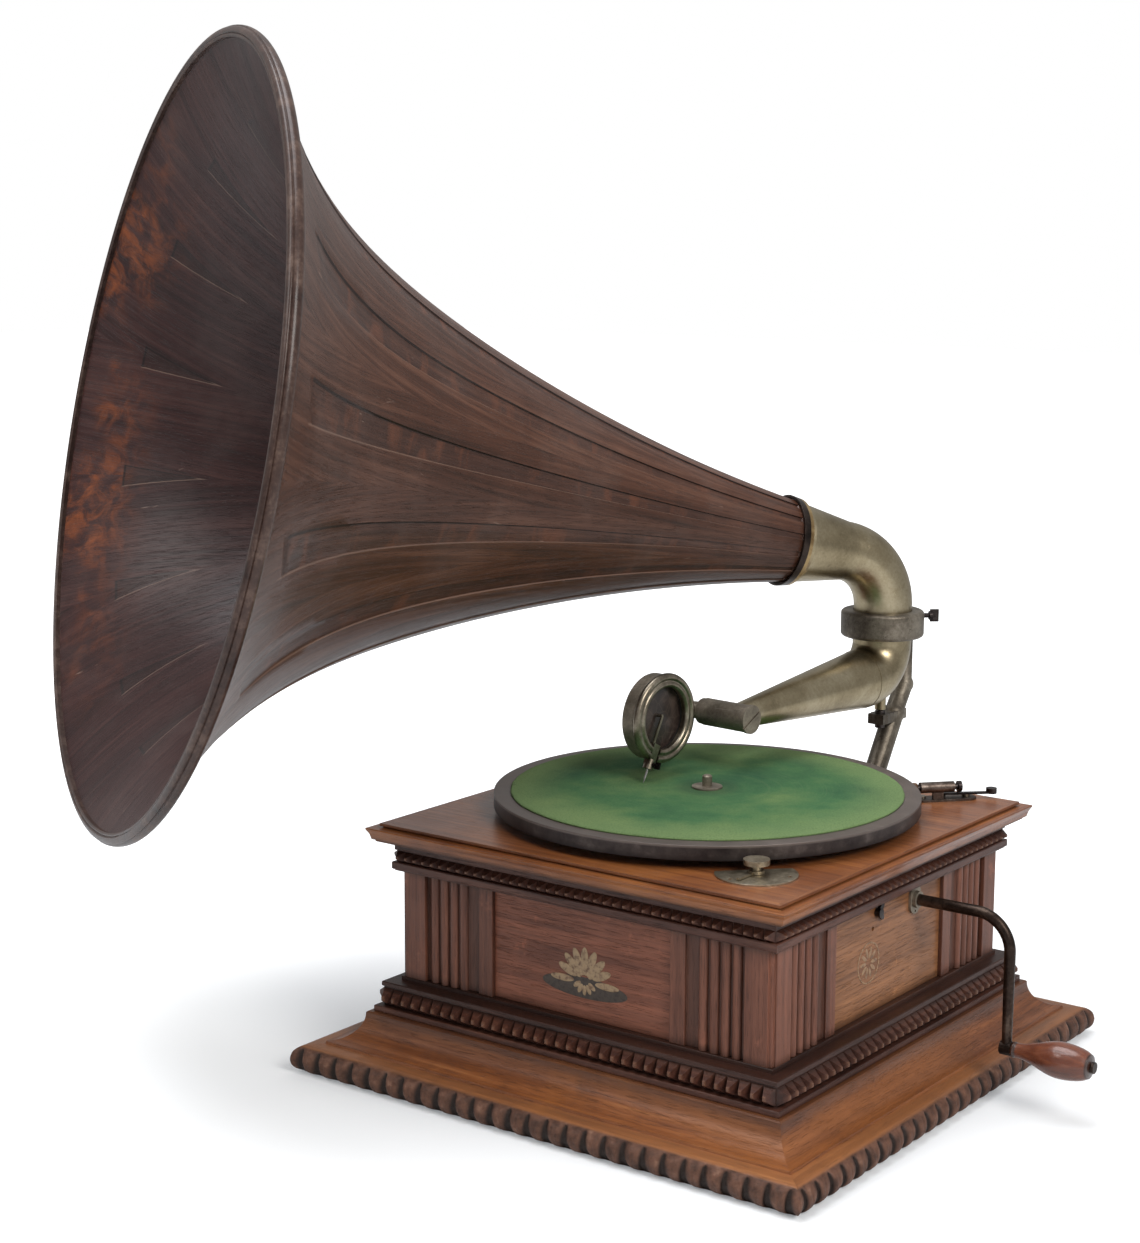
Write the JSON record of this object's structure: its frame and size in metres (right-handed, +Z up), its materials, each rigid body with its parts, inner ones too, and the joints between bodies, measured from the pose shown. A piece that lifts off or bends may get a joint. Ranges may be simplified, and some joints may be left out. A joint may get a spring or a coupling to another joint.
{
  "type": "wind up phonograph",
  "caption": "Table-top wind-up phonograph with a square wooden case, sprung motor, felted turntable, swinging tone arm and a large wooden horn.",
  "frame": {"origin": "centre of the case's underside", "axes": "+Z up, -Y towards the front of the case, +X towards the crank"},
  "size_m": [0.8212, 0.6926, 0.7245],
  "materials": {
    "board_wood": "satin varnish",
    "panel_wood": "satin varnish",
    "post_wood": "satin varnish",
    "dark_moulding": "dark stain",
    "base_wood": "satin varnish",
    "bottom_wood": "bare",
    "horn_wood": "varnished laminate",
    "horn_rim": "varnished",
    "grip_wood": "gloss varnish",
    "aged_nickel": "aged plate",
    "bright_nickel": "worn plate",
    "bracket_metal": "aged plate",
    "platter_metal": "satin",
    "felt": "felt",
    "blued_steel": "dark oxide",
    "steel": "turned",
    "gear_brass": "satin",
    "motor_iron": "grey",
    "rubber": "matt",
    "mica": "dark sheet",
    "leather": "worn"
  },
  "bodies": {
    "case": {"base_moulding": "base_wood", "bottom_board": "bottom_wood", "waist_moulding": "dark_moulding", "front_panel": "panel_wood", "rear_panel": "panel_wood", "left_panel": "panel_wood", "right_panel": "panel_wood", "corner_posts": "post_wood", "cornice_moulding": "dark_moulding", "top_board": "board_wood", "crank_escutcheon": "bright_nickel", "speed_dial": "bright_nickel", "brake_plate": "bright_nickel", "brake_housing": "blued_steel", "brake_screws": "bright_nickel", "motor_top_plate": "motor_iron", "motor_bottom_plate": "motor_iron", "motor_pillars": "steel", "motor_bushes": "gear_brass", "arm_bracket": "bracket_metal", "bracket_screws": "bright_nickel", "arm_pivot_screw": "blued_steel"},
    "turntable": {"platter": "platter_metal", "felt_mat": "felt", "spindle": "steel"},
    "drum": {"spring_drum": "motor_iron", "drum_cover": "motor_iron", "mainspring": "blued_steel"},
    "arbor": {"winding_arbor": "steel", "crown_wheel": "gear_brass"},
    "pawl": {"ratchet_pawl": "blued_steel"},
    "middle": {"middle_arbor": "gear_brass"},
    "governor": {"governor_shaft": "steel", "governor_weights": "gear_brass", "governor_disc": "motor_iron"},
    "crank": {"crank_rod": "blued_steel", "crank_pinion": "gear_brass"},
    "grip": {"crank_grip": "grip_wood"},
    "catch": {"side_catch": "bracket_metal"},
    "knob": {"speed_knob": "bright_nickel"},
    "regulator": {"speed_lever": "steel"},
    "brake_rod": {"brake_plunger": "blued_steel", "brake_pad": "leather"},
    "brake_arm": {"brake_lever": "blued_steel"},
    "arm": {"tone_arm": "aged_nickel", "arm_barrel": "aged_nickel"},
    "sound_box": {"barrel_cap": "aged_nickel", "crook": "aged_nickel", "box_shell": "aged_nickel", "box_ring": "bright_nickel", "box_gaskets": "rubber", "diaphragm": "mica", "stylus_bar": "aged_nickel"},
    "clamp": {"needle_screw": "blued_steel"},
    "stylus": {"needle": "steel"},
    "horn": {"horn_elbow": "aged_nickel", "horn_ferrule": "horn_rim", "horn_flare": "horn_wood", "horn_bead": "horn_rim"},
    "thumb": {"horn_thumb_screw": "blued_steel"}
  },
  "joints": [
    {"name": "turntable_spin", "type": "hinge", "parent": "case", "child": "turntable", "pos_m": [0, 0, 0.1855], "axis": [0, 0, 1], "continuous": true},
    {"name": "drum_turn", "type": "hinge", "parent": "case", "child": "drum", "pos_m": [0.05, 0.035, 0.09], "axis": [0, 0, 1], "continuous": true},
    {"name": "middle_spin", "type": "hinge", "parent": "case", "child": "middle", "pos_m": [0.02937, -0.00611, 0.06], "axis": [0, 0, 1], "continuous": true},
    {"name": "governor_spin", "type": "hinge", "parent": "case", "child": "governor", "pos_m": [-0.02706, -0.00985, 0.1], "axis": [0, 0, 1], "continuous": true},
    {"name": "crank_wind", "type": "hinge", "parent": "case", "child": "crank", "pos_m": [0.1548, 0.035, 0.134], "axis": [1, 0, 0], "continuous": true},
    {"name": "arbor_turn", "type": "hinge", "parent": "case", "child": "arbor", "pos_m": [0.05, 0.035, 0.12], "axis": [0, 0, 1], "continuous": true},
    {"name": "grip_spin", "type": "hinge", "parent": "crank", "child": "grip", "pos_m": [0.2448, 0.035, 0.042], "axis": [1, 0, 0], "continuous": true},
    {"name": "pawl_lift", "type": "hinge", "parent": "case", "child": "pawl", "pos_m": [0.03357, 0.0659, 0.12], "axis": [0, 0, 1], "range_deg": [0, 14], "stiffness_Nm_per_rad": 0.004, "springref_deg": -5.73},
    {"name": "catch_turn", "type": "hinge", "parent": "case", "child": "catch", "pos_m": [0.1498, -0.017, 0.137], "axis": [1, 0, 0], "range_deg": [-90, 90]},
    {"name": "speed_turn", "type": "hinge", "parent": "case", "child": "knob", "pos_m": [0.11607, -0.11607, 0.1795], "axis": [0, 0, 1], "range_deg": [-30, 30]},
    {"name": "regulator_turn", "type": "hinge", "parent": "case", "child": "regulator", "pos_m": [0.045, -0.03085, 0.14], "axis": [0, 0, 1], "range_deg": [-3.2, 3.2]},
    {"name": "brake_slide", "type": "slide", "parent": "case", "child": "brake_rod", "axis": [0.6691, 0.7431, 0], "range_m": [-0.0022, 0.002]},
    {"name": "brake_turn", "type": "hinge", "parent": "case", "child": "brake_arm", "pos_m": [0.11491, 0.13659, 0.1825], "axis": [0, 0, 1], "range_deg": [-12, 14]},
    {"name": "arm_swing", "type": "hinge", "parent": "case", "child": "arm", "pos_m": [0, 0.249, 0.2692], "axis": [0, 0, 1], "range_deg": [-12, 48]},
    {"name": "crook_lift", "type": "hinge", "parent": "arm", "child": "sound_box", "pos_m": [-0.01783, 0.06386, 0.23607], "axis": [-0.9954, 0.0958, 0], "range_deg": [0, 40]},
    {"name": "needle_screw_turn", "type": "hinge", "parent": "sound_box", "child": "clamp", "pos_m": [-0.04111, -0.01105, 0.21038], "axis": [0.9954, -0.0958, 0], "continuous": true},
    {"name": "needle_slide", "type": "slide", "parent": "sound_box", "child": "stylus", "axis": [-0.0435, -0.4519, -0.891], "range_m": [-0.003, 0]},
    {"name": "horn_swivel", "type": "hinge", "parent": "case", "child": "horn", "pos_m": [0, 0.249, 0.2942], "axis": [0, 0, 1], "range_deg": [-60, 90]},
    {"name": "thumb_screw_turn", "type": "hinge", "parent": "case", "child": "thumb", "pos_m": [0.02298, 0.26828, 0.2892], "axis": [0.766, 0.6428, 0], "continuous": true}
  ],
  "couplings": [
    {"joint": "drum_turn", "follows": "turntable_spin", "ratio": 0.0375},
    {"joint": "middle_spin", "follows": "turntable_spin", "ratio": -0.25},
    {"joint": "governor_spin", "follows": "turntable_spin", "ratio": -5},
    {"joint": "arbor_turn", "follows": "crank_wind", "ratio": 0.33333},
    {"joint": "regulator_turn", "follows": "speed_turn", "ratio": -0.09904},
    {"joint": "brake_slide", "follows": "brake_turn", "m_per_rad": -0.0084}
  ]
}
